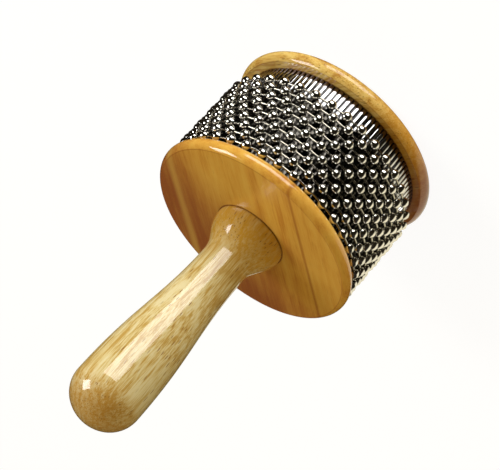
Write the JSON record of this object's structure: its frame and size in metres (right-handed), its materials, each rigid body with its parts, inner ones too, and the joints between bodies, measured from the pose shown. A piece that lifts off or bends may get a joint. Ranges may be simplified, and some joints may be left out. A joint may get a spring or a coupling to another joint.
{
  "type": "cabasa",
  "caption": "Hand percussion instrument: loops of steel ball chain turn freely round a ribbed steel drum held between wooden discs on a turned wooden handle.",
  "frame": {"origin": "centre of the rear disc's outer face, which the part stands on", "axes": "+Z along the drum's axis from the rear disc towards the end of the handle; -Y is the side that the picture shows"},
  "size_m": [0.114, 0.114, 0.2032],
  "materials": {
    "handle_wood": "varnished",
    "disc_wood": "varnished",
    "core_wood": "sanded",
    "sleeve_steel": "polished",
    "bead_steel": "polished",
    "link_steel": "polished",
    "bolt_steel": "zinc plated",
    "insert_brass": "machined"
  },
  "bodies": {
    "drum": {"handle": "handle_wood", "front_disc": "disc_wood", "rear_disc": "disc_wood", "rear_plug": "disc_wood", "drum_core": "core_wood", "front_dowels": "core_wood", "rear_dowels": "core_wood", "ribbed_sleeve": "sleeve_steel", "tie_bolt": "bolt_steel", "bolt_washer": "bolt_steel", "handle_insert": "insert_brass"},
    "loop_1": {"bead_loop_1": "bead_steel", "link_set_1": "link_steel"},
    "loop_2": {"bead_loop_2": "bead_steel", "link_set_2": "link_steel"},
    "loop_3": {"bead_loop_3": "bead_steel", "link_set_3": "link_steel"},
    "loop_4": {"bead_loop_4": "bead_steel", "link_set_4": "link_steel"},
    "loop_5": {"bead_loop_5": "bead_steel", "link_set_5": "link_steel"},
    "loop_6": {"bead_loop_6": "bead_steel", "link_set_6": "link_steel"},
    "loop_7": {"bead_loop_7": "bead_steel", "link_set_7": "link_steel"},
    "loop_8": {"bead_loop_8": "bead_steel", "link_set_8": "link_steel"},
    "loop_9": {"bead_loop_9": "bead_steel", "link_set_9": "link_steel"}
  },
  "joints": [
    {"name": "loop_1_turn", "type": "hinge", "parent": "drum", "child": "loop_1", "pos_m": [0, 0, 0.01995], "axis": [0, 0, 1], "continuous": true},
    {"name": "loop_2_turn", "type": "hinge", "parent": "drum", "child": "loop_2", "pos_m": [0, 0, 0.02535], "axis": [0, 0, 1], "continuous": true},
    {"name": "loop_3_turn", "type": "hinge", "parent": "drum", "child": "loop_3", "pos_m": [0, 0, 0.03075], "axis": [0, 0, 1], "continuous": true},
    {"name": "loop_4_turn", "type": "hinge", "parent": "drum", "child": "loop_4", "pos_m": [0, 0, 0.03615], "axis": [0, 0, 1], "continuous": true},
    {"name": "loop_5_turn", "type": "hinge", "parent": "drum", "child": "loop_5", "pos_m": [0, 0, 0.04155], "axis": [0, 0, 1], "continuous": true},
    {"name": "loop_6_turn", "type": "hinge", "parent": "drum", "child": "loop_6", "pos_m": [0, 0, 0.04695], "axis": [0, 0, 1], "continuous": true},
    {"name": "loop_7_turn", "type": "hinge", "parent": "drum", "child": "loop_7", "pos_m": [0, 0, 0.05235], "axis": [0, 0, 1], "continuous": true},
    {"name": "loop_8_turn", "type": "hinge", "parent": "drum", "child": "loop_8", "pos_m": [0, 0, 0.05775], "axis": [0, 0, 1], "continuous": true},
    {"name": "loop_9_turn", "type": "hinge", "parent": "drum", "child": "loop_9", "pos_m": [0, 0, 0.06315], "axis": [0, 0, 1], "continuous": true}
  ]
}
